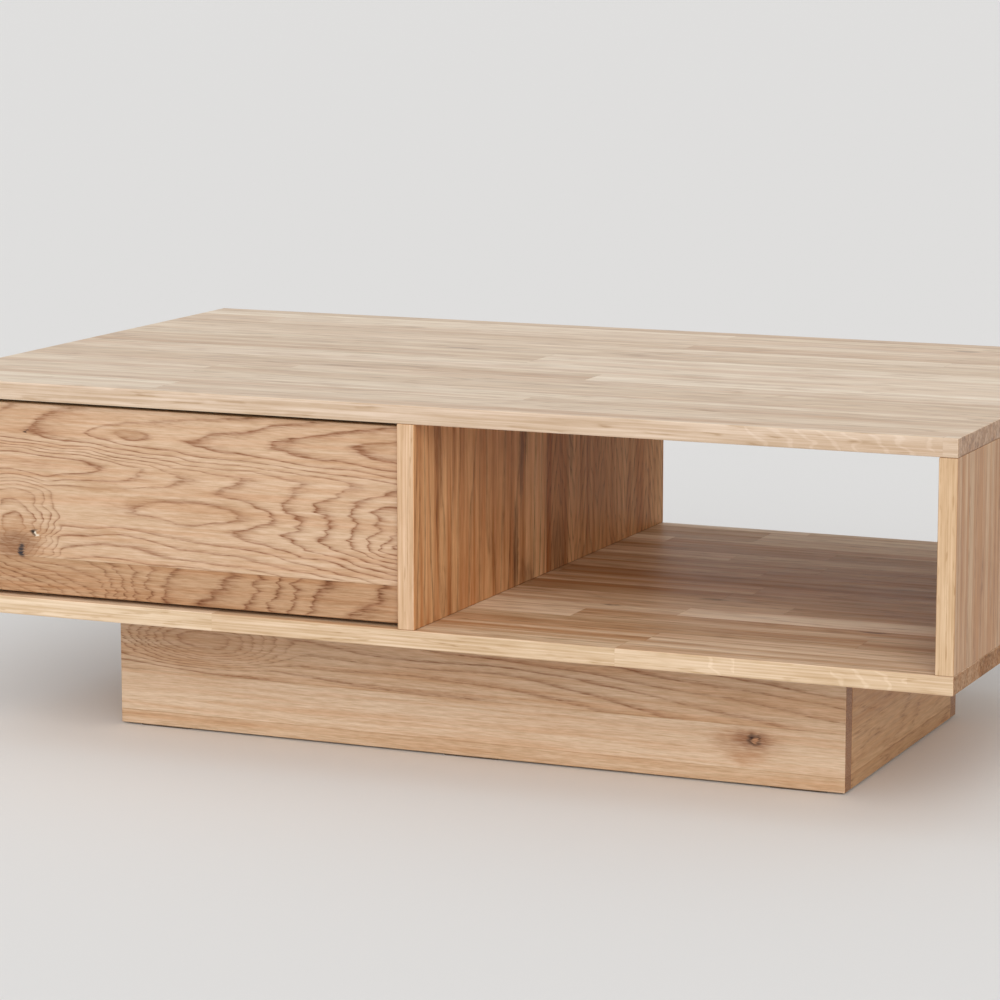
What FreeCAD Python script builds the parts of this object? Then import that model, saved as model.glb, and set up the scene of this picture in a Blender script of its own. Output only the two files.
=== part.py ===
import FreeCAD, Part
import os

from FreeCAD import Vector

# Low oak coffee table: a flat box on a set-back plinth. The left bay holds one inset drawer that opens with
# a push, and the right bay is open from front to back.
# Millimetres. The origin is on the floor under the middle of the table, +X to the right as seen from the
# drawer's side, +Y to the back and +Z up.

# The box of oak boards
table_width = 1100.0
table_depth = 680.0
bay_height = 202.0
board_thickness = 18.0
edge_round = 1.2
back_recess = 9.0

# Plinth: four boards, their corner blocks and the felt glides under them
plinth_inset = 150.0
plinth_height = 140.0
plinth_board_thickness = 20.0
block_leg = 60.0
block_toe = 16.0
block_height = 40.0
block_screw_inset = 20.0
glide_length = 60.0
glide_side_inset = 3.0
glide_thickness = 2.0
glide_corner = 5.0
glide_end_inset = 20.0
glides_per_board = 3

# Dowels, all of one size
dowel_diameter = 8.0
dowel_board_depth = 10.0
dowel_end_depth = 20.0
dowel_chamfer = 0.8
dowel_end_inset = 60.0
dowels_per_upright = 4
dowels_per_back_panel = 3
plinth_dowel_inset = 35.0

# Drawer: an applied oak front on a box with rabbeted corners and a bottom in grooves
front_recess = 9.0
drawer_front_thickness = 18.0
drawer_gap_above = 4.0
drawer_gap_below = 4.0
drawer_gap_side = 3.0
box_back_gap = 76.0
box_floor_gap = 14.0
box_roof_gap = 38.0
box_wall = 12.0
box_edge_round = 1.5
rabbet_depth = 6.0
bottom_thickness = 5.0
bottom_lift = 9.0
groove_depth = 5.0

# Telescopic runners: three rolled channels a side, one inside the other, on two rows of balls each
rail_space = 12.7
rail_height = 45.0
rail_sheet = 1.2
bend_radius = 0.4
rail_front_gap = 5.0
rail_back_gap = 71.0
web_gap = 1.0
cabinet_flange_gap = 3.2
middle_flange_gap = 0.9
drawer_travel = 450.0
push_stroke = 3.0
ball_diameter = 4.0
race_depth = 0.5
balls_per_row = 6
cage_sheet = 0.4
cage_lip = 1.0
cage_end_margin = 8.0
cage_ball_inset = 12.0

# Push latch in the back of each cabinet rail, and the striker on the drawer rail that it catches
latch_length = 70.0
latch_gap = 10.0
latch_side_gap = 2.2
latch_corner = 1.5
striker_foot = 20.0
striker_reach = 12.0
striker_thickness = 2.0
striker_hook = 3.0
striker_height = 10.0
slot_clearance = 1.0

# Screws: the head's and the shank's diameter of each kind, and how far it bites into the second piece
rail_screw_head = 7.0
rail_screw_shank = 3.5
rail_screw_bite = 9.8
rail_screw_inset = 37.0
screws_per_rail = 3
front_screw_head = 8.0
front_screw_shank = 4.0
front_screw_bite = 13.0
front_screw_side_inset = 90.0
front_screw_height_inset = 40.0
plinth_screw_head = 9.0
plinth_screw_shank = 4.5
plinth_screw_bite = 10.0
screw_point = 3.0
recess_width = 0.9
recess_depth = 1.2
recess_length_share = 0.62

# Clearances, and the overrun that takes a cut clear of a face
fit_clearance = 0.1
running_clearance = 0.1
groove_clearance = 0.2
hole_end_clearance = 1.0
cut_overrun = 1.0
parallel_share = 0.001

# Places that follow from those sizes
half_width = table_width / 2
half_depth = table_depth / 2
plinth_half_width = half_width - plinth_inset
plinth_half_depth = half_depth - plinth_inset
plinth_top_z = glide_thickness + plinth_height
bay_floor_z = plinth_top_z + board_thickness
bay_roof_z = bay_floor_z + bay_height
table_height = bay_roof_z + board_thickness
partition_half = board_thickness / 2
bay_left_x = board_thickness - half_width
bay_right_x = -partition_half
bay_back_y = half_depth - back_recess - board_thickness
front_back_y = front_recess + drawer_front_thickness - half_depth
box_left_x = bay_left_x + rail_space
box_right_x = bay_right_x - rail_space
box_back_y = bay_back_y - box_back_gap
box_floor_z = bay_floor_z + box_floor_gap
box_top_z = bay_roof_z - box_roof_gap
rail_axis_z = (box_floor_z + box_top_z) / 2
rail_front_y = front_back_y + rail_front_gap
cabinet_rail_back_y = bay_back_y - rail_back_gap
cabinet_rail_length = cabinet_rail_back_y - rail_front_y
latch_front_y = cabinet_rail_back_y - latch_length
moving_rail_back_y = latch_front_y - latch_gap
moving_rail_length = moving_rail_back_y - rail_front_y
dowel_length = dowel_board_depth + dowel_end_depth
ball_radius = ball_diameter / 2
race_radius = ball_radius + running_clearance

# Each runner: the wall that carries it, and the way from that wall to the drawer
runner_sides = {"left": (bay_left_x, 1), "right": (bay_right_x, -1)}

# Runner section, measured from the wall and from the runner's axis
cabinet_flange_tip = rail_space - cabinet_flange_gap
middle_web = rail_sheet + web_gap
drawer_rail_web = rail_space
drawer_flange_tip = middle_web + rail_sheet + web_gap
middle_flange_tip = drawer_rail_web - rail_sheet - middle_flange_gap
cabinet_half_height = rail_height / 2
outer_ball_height = cabinet_half_height - rail_sheet + race_depth - race_radius
middle_half_height = outer_ball_height - race_radius + race_depth
inner_ball_height = middle_half_height - rail_sheet + race_depth - race_radius
drawer_half_height = inner_ball_height - race_radius + race_depth
outer_ball_place = (middle_web + cabinet_flange_tip) / 2
inner_ball_place = (drawer_flange_tip + middle_flange_tip) / 2
cage_front_y = rail_front_y + drawer_travel / 4 + cage_end_margin
cage_length = moving_rail_length - drawer_travel / 2 - 2 * cage_end_margin


def plain_board(low, high):
    """Square-edged board between two corners."""
    return Part.makeBox(high[0] - low[0], high[1] - low[1], high[2] - low[2], Vector(*low))


def eased_board(low, high):
    """Board between two corners, with every arris rounded over."""
    blank = plain_board(low, high)
    return blank.makeFillet(edge_round, blank.Edges)


def edges_along(solid, direction):
    """Straight edges of a solid that run along a direction."""
    straight = [edge for edge in solid.Edges if isinstance(edge.Curve, Part.Line)]
    return [edge for edge in straight if edge.Curve.Direction.cross(direction).Length < parallel_share]


def spread(first, last, count):
    """Evenly spaced places from first to last."""
    step = (last - first) / (count - 1)
    return [first + step * index for index in range(count)]


# Dowels and screws

def dowel(start, direction):
    """Round wooden peg with chamfered ends."""
    peg = Part.makeCylinder(dowel_diameter / 2, dowel_length, start, direction)
    rims = [edge for edge in peg.Edges if isinstance(edge.Curve, Part.Circle)]
    return peg.makeChamfer(dowel_chamfer, rims)


def dowel_hole(start, direction):
    """Cutter for both halves of a dowel's hole, with room at each end."""
    mouth = start - direction * hole_end_clearance
    length = dowel_length + 2 * hole_end_clearance
    return Part.makeCylinder(dowel_diameter / 2 + fit_clearance, length, mouth, direction)


def screw_form(head_diameter, shank_diameter, length, spare):
    """Countersunk head, shank and point turned about Z, from the head's face at zero downwards along +Z."""
    head_radius = head_diameter / 2 + spare
    shank_radius = shank_diameter / 2 + spare
    end = length + spare
    section = Part.makePolygon([
        Vector(0, 0, 0),
        Vector(head_radius, 0, 0),
        Vector(shank_radius, 0, head_radius - shank_radius),
        Vector(shank_radius, 0, end - screw_point),
        Vector(0, 0, end),
        Vector(0, 0, 0),
    ])
    return Part.Face(section).revolve(Vector(0, 0, 0), Vector(0, 0, 1), 360)


def drive_recess(head_diameter):
    """Cross-shaped recess in a screw's head."""
    length = head_diameter * recess_length_share
    depth = recess_depth + cut_overrun
    across_x = Part.makeBox(length, recess_width, depth, Vector(-length / 2, -recess_width / 2, -cut_overrun))
    across_y = Part.makeBox(recess_width, length, depth, Vector(-recess_width / 2, -length / 2, -cut_overrun))
    return across_x.fuse(across_y)


def placed(form, place, direction):
    """Form turned from +Z to a direction and set at a place."""
    form.Placement = FreeCAD.Placement(place, FreeCAD.Rotation(Vector(0, 0, 1), direction))
    return form


def screws_and_holes(places, head_diameter, shank_diameter, length):
    """Screws at (place, direction) pairs, and the cutters for their holes."""
    screws = []
    holes = []
    for place, direction in places:
        screw = screw_form(head_diameter, shank_diameter, length, 0).cut(drive_recess(head_diameter))
        hole = screw_form(head_diameter, shank_diameter, length, fit_clearance)
        screws.append(placed(screw, place, direction))
        holes.append(placed(hole, place, direction))
    return screws, holes


# Box of boards

def upright_dowel_starts():
    """Lower ends of the dowels that stand in the ends of the uprights and of the back panel."""
    upright_xs = (partition_half - half_width, 0, half_width - partition_half)
    upright_ys = spread(dowel_end_inset - half_depth, half_depth - dowel_end_inset, dowels_per_upright)
    panel_xs = spread(bay_left_x + dowel_end_inset, bay_right_x - dowel_end_inset, dowels_per_back_panel)
    panel_y = bay_back_y + board_thickness / 2
    plan = [(x, y) for x in upright_xs for y in upright_ys]
    plan += [(x, panel_y) for x in panel_xs]
    lower_z = bay_floor_z - dowel_board_depth
    upper_z = bay_roof_z - dowel_end_depth
    return [Vector(x, y, z) for x, y in plan for z in (lower_z, upper_z)]


def flat_board(low_z):
    """Top or bottom board: the whole plan of the table."""
    return eased_board((-half_width, -half_depth, low_z), (half_width, half_depth, low_z + board_thickness))


def upright(left_x):
    """Side panel or partition, standing between the two flat boards and as deep as they are."""
    low = (left_x, -half_depth, bay_floor_z)
    return eased_board(low, (left_x + board_thickness, half_depth, bay_roof_z))


def back_panel():
    """Fixed panel that closes the back of the drawer's bay."""
    low = (bay_left_x, bay_back_y, bay_floor_z)
    return eased_board(low, (bay_right_x, bay_back_y + board_thickness, bay_roof_z))


# Plinth

def plinth_long_board(y_side):
    """Front or back board of the plinth: it runs the whole width, so its end grain shows at the sides."""
    outer_y = y_side * plinth_half_depth
    inner_y = outer_y - y_side * plinth_board_thickness
    low = (-plinth_half_width, min(outer_y, inner_y), glide_thickness)
    return eased_board(low, (plinth_half_width, max(outer_y, inner_y), plinth_top_z))


def plinth_short_board(x_side):
    """Side board of the plinth, between the long ones."""
    outer_x = x_side * plinth_half_width
    inner_x = outer_x - x_side * plinth_board_thickness
    end_y = plinth_half_depth - plinth_board_thickness
    low = (min(outer_x, inner_x), -end_y, glide_thickness)
    return eased_board(low, (max(outer_x, inner_x), end_y, plinth_top_z))


def plinth_dowel_places():
    """Start and direction of the dowels that join the long boards to the ends of the short ones."""
    board_x = plinth_half_width - plinth_board_thickness / 2
    heights = (glide_thickness + plinth_dowel_inset, plinth_top_z - plinth_dowel_inset)
    start_y = plinth_half_depth - plinth_board_thickness + dowel_board_depth
    places = []
    for x in (-board_x, board_x):
        for z in heights:
            places.append((Vector(x, -start_y, z), Vector(0, 1, 0)))
            places.append((Vector(x, start_y, z), Vector(0, -1, 0)))
    return places


def inner_corner(x_side, y_side):
    """Inside corner of the plinth under the bottom board, at the foot of a corner block."""
    x = x_side * (plinth_half_width - plinth_board_thickness)
    y = y_side * (plinth_half_depth - plinth_board_thickness)
    return Vector(x, y, plinth_top_z - block_height)


def corner_block(x_side, y_side):
    """Three-cornered glue block with its two sharp ends cut off."""
    plan = ((0, 0), (block_leg, 0), (block_leg, block_toe), (block_toe, block_leg), (0, block_leg), (0, 0))
    corner = inner_corner(x_side, y_side)
    outline = [corner - Vector(x_side * x, y_side * y, 0) for x, y in plan]
    return Part.Face(Part.makePolygon(outline)).extrude(Vector(0, 0, block_height))


def floor_glides():
    """Felt strips with round corners under the long boards of the plinth."""
    end_x = plinth_half_width - glide_end_inset - glide_length / 2
    middle_y = plinth_half_depth - plinth_board_thickness / 2
    half_strip = plinth_board_thickness / 2 - glide_side_inset
    glides = []
    for y in (-middle_y, middle_y):
        for x in spread(-end_x, end_x, glides_per_board):
            low = (x - glide_length / 2, y - half_strip, 0)
            strip = plain_board(low, (x + glide_length / 2, y + half_strip, glide_thickness))
            glides.append(strip.makeFillet(glide_corner, edges_along(strip, Vector(0, 0, 1))))
    return glides


# Drawer

def drawer_front():
    """Inset oak front, with its gaps all round."""
    face_y = front_back_y - drawer_front_thickness
    low = (bay_left_x + drawer_gap_side, face_y, bay_floor_z + drawer_gap_below)
    return eased_board(low, (bay_right_x - drawer_gap_side, front_back_y, bay_roof_z - drawer_gap_above))


def bottom_panel_and_groove():
    """Loose bottom panel, and the cutter for the groove that holds it in all four walls."""
    low_z = box_floor_z + bottom_lift
    reach = groove_depth - groove_clearance
    inner_low = (box_left_x + box_wall, front_back_y + box_wall, low_z)
    inner_high = (box_right_x - box_wall, box_back_y - box_wall, low_z + bottom_thickness)
    panel = plain_board(
        (inner_low[0] - reach, inner_low[1] - reach, low_z),
        (inner_high[0] + reach, inner_high[1] + reach, inner_high[2]),
    )
    groove = plain_board(
        (inner_low[0] - groove_depth, inner_low[1] - groove_depth, low_z),
        (inner_high[0] + groove_depth, inner_high[1] + groove_depth, inner_high[2] + groove_clearance),
    )
    return panel, groove


def round_topped(wall, direction):
    """Wall of the box with its two top edges, along one direction, rounded for the hand."""
    top_z = wall.BoundBox.ZMax
    rims = [edge for edge in edges_along(wall, direction) if top_z - edge.CenterOfMass.z < fit_clearance]
    return wall.makeFillet(box_edge_round, rims)


def box_end(front_y):
    """Front or back wall of the box, long enough to lie in the rabbets of the sides."""
    low_x = box_left_x + box_wall - rabbet_depth
    high_x = box_right_x - box_wall + rabbet_depth
    return plain_board((low_x, front_y, box_floor_z), (high_x, front_y + box_wall, box_top_z))


def box_side(left_x):
    """Side wall of the box, as long as the box."""
    wall = plain_board((left_x, front_back_y, box_floor_z), (left_x + box_wall, box_back_y, box_top_z))
    return round_topped(wall, Vector(0, 1, 0))


# Runners

def across(side, distance):
    """X of a point at a distance from the wall that carries a runner."""
    wall_x, inward = runner_sides[side]
    return wall_x + inward * distance


def long_edges_at(solid, x):
    """Edges that run along a rail, at one X."""
    along = edges_along(solid, Vector(0, 1, 0))
    return [edge for edge in along if abs(edge.CenterOfMass.x - x) < fit_clearance]


def rolled_channel(side, web, tip, half_height, sheet, length):
    """C-shaped channel of bent sheet along Y, with its web at one distance and its flange tips at another."""
    inward = 1 if tip > web else -1
    inner_face = web + inward * sheet
    outline = (
        (web, -half_height),
        (tip, -half_height),
        (tip, sheet - half_height),
        (inner_face, sheet - half_height),
        (inner_face, half_height - sheet),
        (tip, half_height - sheet),
        (tip, half_height),
        (web, half_height),
        (web, -half_height),
    )
    points = [Vector(across(side, distance), 0, rail_axis_z + height) for distance, height in outline]
    channel = Part.Face(Part.makePolygon(points)).extrude(Vector(0, length, 0))
    channel = channel.makeFillet(bend_radius + sheet, long_edges_at(channel, across(side, web)))
    channel = channel.makeFillet(bend_radius, long_edges_at(channel, across(side, inner_face)))
    channel.translate(Vector(0, rail_front_y, 0))
    return channel


def race_cutters(side, ball_place, ball_height):
    """Long round cutters for the upper and the lower ball race."""
    start_y = rail_front_y - cut_overrun
    length = cabinet_rail_length + 2 * cut_overrun
    starts = [Vector(across(side, ball_place), start_y, rail_axis_z + z) for z in (-ball_height, ball_height)]
    return [Part.makeCylinder(race_radius, length, start, Vector(0, 1, 0)) for start in starts]


def ball_cage(side, web, ball_place, ball_height):
    """Thin channel with a hole round every ball, and the two rows of balls that it carries."""
    tip = ball_place + ball_radius + cage_lip
    half_height = ball_height + cage_sheet / 2
    cage = rolled_channel(side, web, tip, half_height, cage_sheet, cage_length)
    cage.translate(Vector(0, cage_front_y - rail_front_y, 0))
    x = across(side, ball_place)
    last_ball_y = cage_front_y + cage_length - cage_ball_inset
    ball_ys = spread(cage_front_y + cage_ball_inset, last_ball_y, balls_per_row)
    bore_radius = ball_radius + fit_clearance
    bore_length = 2 * (half_height + cut_overrun)
    low_z = rail_axis_z - half_height - cut_overrun
    bores = [Part.makeCylinder(bore_radius, bore_length, Vector(x, y, low_z)) for y in ball_ys]
    heights = (rail_axis_z - ball_height, rail_axis_z + ball_height)
    balls = [Part.makeSphere(ball_radius, Vector(x, y, z)) for y in ball_ys for z in heights]
    return cage.cut(bores), balls


def striker(side):
    """Flat strip on the inside of the drawer rail's web, with a hook that turns back to the wall."""
    back = drawer_rail_web - rail_sheet
    face = back - striker_thickness
    hook = face - striker_hook
    start_y = moving_rail_back_y - striker_foot
    end_y = latch_front_y + striker_reach
    plan = (
        (back, start_y),
        (back, end_y),
        (hook, end_y),
        (hook, end_y - striker_thickness),
        (face, end_y - striker_thickness),
        (face, start_y),
        (back, start_y),
    )
    low_z = rail_axis_z - striker_height / 2
    outline = [Vector(across(side, distance), y, low_z) for distance, y in plan]
    return Part.Face(Part.makePolygon(outline)).extrude(Vector(0, 0, striker_height))


def push_latch(side):
    """Moulded latch housing in the back of the cabinet rail, with a slot that takes the striker's hook."""
    half_height = cabinet_half_height - rail_sheet - fit_clearance
    near_x, far_x = sorted((across(side, rail_sheet), across(side, rail_space - latch_side_gap)))
    low = (near_x, latch_front_y, rail_axis_z - half_height)
    housing = plain_board(low, (far_x, cabinet_rail_back_y, rail_axis_z + half_height))
    long_edges = long_edges_at(housing, near_x) + long_edges_at(housing, far_x)
    housing = housing.makeFillet(latch_corner, long_edges)
    slot_floor = drawer_rail_web - rail_sheet - striker_thickness - striker_hook - slot_clearance
    slot_half = striker_height / 2 + slot_clearance
    slot_end_y = latch_front_y + striker_reach + push_stroke + slot_clearance
    slot_near_x, slot_far_x = sorted((across(side, slot_floor), across(side, rail_space)))
    slot = plain_board(
        (slot_near_x, latch_front_y - cut_overrun, rail_axis_z - slot_half),
        (slot_far_x, slot_end_y, rail_axis_z + slot_half),
    )
    return housing.cut(slot)


def rail_screw_places(distance, away):
    """Heads and directions of one kind of rail's screws: away is -1 into the wall and 1 into the drawer."""
    front_y = rail_front_y + rail_screw_inset
    back_y = moving_rail_back_y - rail_screw_inset
    places = []
    for side, (wall_x, inward) in runner_sides.items():
        for y in spread(front_y, back_y, screws_per_rail):
            direction = Vector(away * inward, 0, 0)
            places.append((Vector(across(side, distance), y, rail_axis_z), direction))
    return places


# All the pieces, by name

def body_pieces():
    """Boards of the box, their dowels and the holes for the rails' and the plinth's screws."""
    up = Vector(0, 0, 1)
    starts = upright_dowel_starts()
    dowel_holes = [dowel_hole(start, up) for start in starts]
    rail_screws, rail_holes = screws_and_holes(
        rail_screw_places(rail_sheet, -1), rail_screw_head, rail_screw_shank, rail_sheet + rail_screw_bite)
    plinth_places = []
    for x_side in (-1, 1):
        for y_side in (-1, 1):
            inset = Vector(x_side * block_screw_inset, y_side * block_screw_inset, 0)
            plinth_places.append((inner_corner(x_side, y_side) - inset, up))
    plinth_screws, plinth_holes = screws_and_holes(
        plinth_places, plinth_screw_head, plinth_screw_shank, block_height + plinth_screw_bite)
    pieces = {
        "top_board": flat_board(bay_roof_z).cut(dowel_holes),
        "bottom_board": flat_board(plinth_top_z).cut(dowel_holes + plinth_holes),
        "left_side_panel": upright(-half_width).cut(dowel_holes + rail_holes),
        "right_side_panel": upright(half_width - board_thickness).cut(dowel_holes),
        "centre_partition": upright(-partition_half).cut(dowel_holes + rail_holes),
        "bay_back_panel": back_panel().cut(dowel_holes),
        "carcass_dowels": Part.makeCompound([dowel(start, up) for start in starts]),
        "cabinet_rail_screws": Part.makeCompound(rail_screws),
        "plinth_screws": Part.makeCompound(plinth_screws),
    }
    for x_name, x_side in (("left", -1), ("right", 1)):
        for y_name, y_side in (("front", -1), ("back", 1)):
            block = corner_block(x_side, y_side)
            pieces["plinth_block_" + y_name + "_" + x_name] = block.cut(plinth_holes)
    for side in runner_sides:
        rail = rolled_channel(
            side, 0, cabinet_flange_tip, cabinet_half_height, rail_sheet, cabinet_rail_length)
        races = race_cutters(side, outer_ball_place, outer_ball_height)
        pieces[side + "_cabinet_rail"] = rail.cut(races + rail_holes)
        pieces[side + "_push_latch"] = push_latch(side)
    return pieces


def plinth_pieces():
    """Boards of the plinth, their dowels and the glides."""
    places = plinth_dowel_places()
    holes = [dowel_hole(start, direction) for start, direction in places]
    return {
        "plinth_front_board": plinth_long_board(-1).cut(holes),
        "plinth_back_board": plinth_long_board(1).cut(holes),
        "plinth_left_board": plinth_short_board(-1).cut(holes),
        "plinth_right_board": plinth_short_board(1).cut(holes),
        "plinth_dowels": Part.makeCompound([dowel(start, direction) for start, direction in places]),
        "floor_glides": Part.makeCompound(floor_glides()),
    }


def drawer_pieces():
    """Drawer front, box, drawer rails with their strikers, and the screws that hold them together."""
    panel, groove = bottom_panel_and_groove()
    ends = [box_end(front_back_y), box_end(box_back_y - box_wall)]
    rail_places = rail_screw_places(drawer_rail_web - rail_sheet, 1)
    rail_screws, rail_holes = screws_and_holes(
        rail_places, rail_screw_head, rail_screw_shank, rail_sheet + rail_screw_bite)
    screw_y = front_back_y + box_wall
    screw_xs = (box_left_x + front_screw_side_inset, box_right_x - front_screw_side_inset)
    screw_zs = (box_floor_z + front_screw_height_inset, box_top_z - front_screw_height_inset)
    front_places = [(Vector(x, screw_y, z), Vector(0, -1, 0)) for x in screw_xs for z in screw_zs]
    front_screws, front_holes = screws_and_holes(
        front_places, front_screw_head, front_screw_shank, box_wall + front_screw_bite)
    pieces = {
        "drawer_front": drawer_front().cut(front_holes),
        "drawer_box_front": round_topped(ends[0], Vector(1, 0, 0)).cut([groove] + front_holes),
        "drawer_box_back": round_topped(ends[1], Vector(1, 0, 0)).cut(groove),
        "drawer_left_side": box_side(box_left_x).cut(ends + [groove] + rail_holes),
        "drawer_right_side": box_side(box_right_x - box_wall).cut(ends + [groove] + rail_holes),
        "drawer_bottom": panel,
        "drawer_front_screws": Part.makeCompound(front_screws),
        "drawer_rail_screws": Part.makeCompound(rail_screws),
    }
    for side in runner_sides:
        rail = rolled_channel(
            side, drawer_rail_web, drawer_flange_tip, drawer_half_height, rail_sheet, moving_rail_length)
        races = race_cutters(side, inner_ball_place, inner_ball_height)
        pieces[side + "_drawer_rail"] = rail.cut(races + rail_holes)
        pieces[side + "_latch_striker"] = striker(side)
    return pieces


def telescope_pieces():
    """Middle rails, and the ball cages that run on each side of them."""
    outer_cage_web = rail_sheet + (web_gap - cage_sheet) / 2
    inner_cage_web = middle_web + rail_sheet + (web_gap - cage_sheet) / 2
    pieces = {}
    for side in runner_sides:
        rail = rolled_channel(
            side, middle_web, middle_flange_tip, middle_half_height, rail_sheet, moving_rail_length)
        races = race_cutters(side, outer_ball_place, outer_ball_height)
        races += race_cutters(side, inner_ball_place, inner_ball_height)
        pieces[side + "_middle_rail"] = rail.cut(races)
        cages = (
            ("outer", outer_cage_web, outer_ball_place, outer_ball_height),
            ("inner", inner_cage_web, inner_ball_place, inner_ball_height),
        )
        for ring, web, ball_place, ball_height in cages:
            cage, balls = ball_cage(side, web, ball_place, ball_height)
            pieces[side + "_" + ring + "_ball_cage"] = cage
            pieces[side + "_" + ring + "_balls"] = Part.makeCompound(balls)
    return pieces


os.makedirs("parts", exist_ok=True)
all_pieces = {}
for make in (body_pieces, plinth_pieces, drawer_pieces, telescope_pieces):
    all_pieces.update(make())
for name, shape in all_pieces.items():
    shape.exportStep("parts/" + name + ".step")
print(len(all_pieces), "pieces,", sum(len(shape.Solids) for shape in all_pieces.values()), "solids")
print("height", table_height, "drawer travel", drawer_travel)
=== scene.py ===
# %% [markdown]
# An oak coffee table with one drawer, an open bay and a plinth set back under the box.
# Every board comes from the imported model and keeps its shape and place.
# What this lesson adds is the finish of each piece: above all oak, glued up from staves and oiled,
# and then the pale drawer box, the steel runners, the plastic latches and the felt under the plinth.

# %% Load the table
import math
import bpy
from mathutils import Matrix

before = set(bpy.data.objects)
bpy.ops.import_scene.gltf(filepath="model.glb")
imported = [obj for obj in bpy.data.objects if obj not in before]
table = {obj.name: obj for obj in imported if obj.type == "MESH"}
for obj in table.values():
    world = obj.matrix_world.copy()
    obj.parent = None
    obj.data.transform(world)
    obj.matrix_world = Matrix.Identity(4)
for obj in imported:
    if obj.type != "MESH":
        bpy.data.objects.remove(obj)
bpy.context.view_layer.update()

# %% [markdown]
# Blender's shader sockets hold linear light, while a colour read off a screen is an sRGB hex value.
# One function turns the second into the first.
# A material is a net of nodes, and writing it in code means the same three acts over and over:
# make a node, set its settings, and join its sockets. One small function does all three.

# %% Colours and nodes
def linear(code):
    """An sRGB hex colour as linear red, green, blue and alpha."""
    parts = [int(code[place:place + 2], 16) / 255 for place in (1, 3, 5)]
    return [part / 12.92 if part <= 0.04045 else ((part + 0.055) / 1.055) ** 2.4 for part in parts] + [1.0]


def add(tree, kind, settings=None, links=None):
    """Adds one node, sets its settings and sockets, and returns its outputs."""
    made = tree.nodes.new("ShaderNode" + kind)
    for setting, value in (settings or {}).items():
        if setting == "stops":
            made.color_ramp.elements.remove(made.color_ramp.elements[1])
            for position, shade in value[1:]:
                made.color_ramp.elements.new(position).color = (shade, shade, shade, 1)
            made.color_ramp.elements[0].color = (value[0][1], value[0][1], value[0][1], 1)
        else:
            setattr(made, setting, value)
    for socket, value in (links or {}).items():
        if isinstance(value, bpy.types.NodeSocket):
            tree.links.new(value, made.inputs[socket])
        else:
            made.inputs[socket].default_value = value
    return made.outputs


def new_finish(name):
    """A material with a node tree, and its shader."""
    finish = bpy.data.materials.new(name)
    finish.use_nodes = True
    return finish, finish.node_tree, finish.node_tree.nodes["Principled BSDF"]


print("oak light", [round(part, 3) for part in linear("#dcc4a8")[:3]])

# %% [markdown]
# A board is not flat paint: the grain goes through it, so the same rings meet on a face and on an edge.
# That is why the pattern is worked out in space, from the point's own place, and not from a flat picture.
# The first step turns that place into a board's own directions, in millimetres:
# along the grain, across it, and through its thickness. An upright has its grain along Z, a top along X.

# %% The place on a board
AXES = {"X": 0, "Y": 1, "Z": 2}
MM_IN_A_METRE = 1000


def board_place(tree, order):
    """The point in millimetres, as along the grain, across it and through the board."""
    point = add(tree, "TexCoord")
    parts = add(tree, "SeparateXYZ", {}, {0: point["Object"]})
    turned = add(tree, "CombineXYZ", {}, {place: parts[AXES[axis]] for place, axis in enumerate(order)})
    return add(tree, "VectorMath", {"operation": "SCALE"}, {0: turned[0], "Scale": MM_IN_A_METRE})[0]


# %% [markdown]
# Furniture boards of this kind are glued up from staves a few centimetres wide, each from another tree.
# Long boards also have butt joints along each row of staves, at a different place in every row.
# A point's row and joint are found by rounding down. A white noise texture turns the pair into
# random numbers that stay the same all over one stave: they give it its own colour and its own
# place in its log. The distance to the nearest glue line is kept as well, for the thin dark line there.
# Where the photograph shows each glue line, as on the drawer front, they are given one by one:
# a list of places across the board, each with the step in tone to the stave that begins there.
# The first place in a list lies off the board.

# %% Staves
FAR_OFF = 1000.0
DARKEST_STAVE = -0.13
PALEST_STAVE = 0.11


def set_rows(tree, across, seams):
    """The row, the distance to a glue line and the tone, from glue lines given in a list."""
    row = 0.0
    gap = FAR_OFF
    tone = 0.0
    for seam, step in seams:
        above = add(tree, "Math", {"operation": "GREATER_THAN"}, {0: across, 1: seam})
        row = add(tree, "Math", {"operation": "ADD"}, {0: above[0], 1: row})[0]
        tone = add(tree, "Math", {"operation": "MULTIPLY_ADD"}, {0: above[0], 1: step, 2: tone})[0]
        beside = add(tree, "Math", {"operation": "SUBTRACT"}, {0: across, 1: seam})
        near = add(tree, "Math", {"operation": "ABSOLUTE"}, {0: beside[0]})
        gap = add(tree, "Math", {"operation": "MINIMUM"}, {0: near[0], 1: gap})[0]
    return row, gap, tone


def even_rows(tree, across, seed, width):
    """The row and the distance to a glue line, for staves of about the same width."""
    wave = add(tree, "Math", {"operation": "MULTIPLY_ADD"}, {0: across, 1: 2.1 / width, 2: seed})
    swing = add(tree, "Math", {"operation": "SINE"}, {0: wave[0]})
    uneven = add(tree, "Math", {"operation": "MULTIPLY_ADD"}, {0: swing[0], 1: 0.22 * width, 2: across})
    row = add(tree, "Math", {"operation": "SNAP"}, {0: uneven[0], 1: width})
    gap = add(tree, "Math", {"operation": "PINGPONG"}, {0: uneven[0], 1: width / 2})
    return row[0], gap[0]


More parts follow.
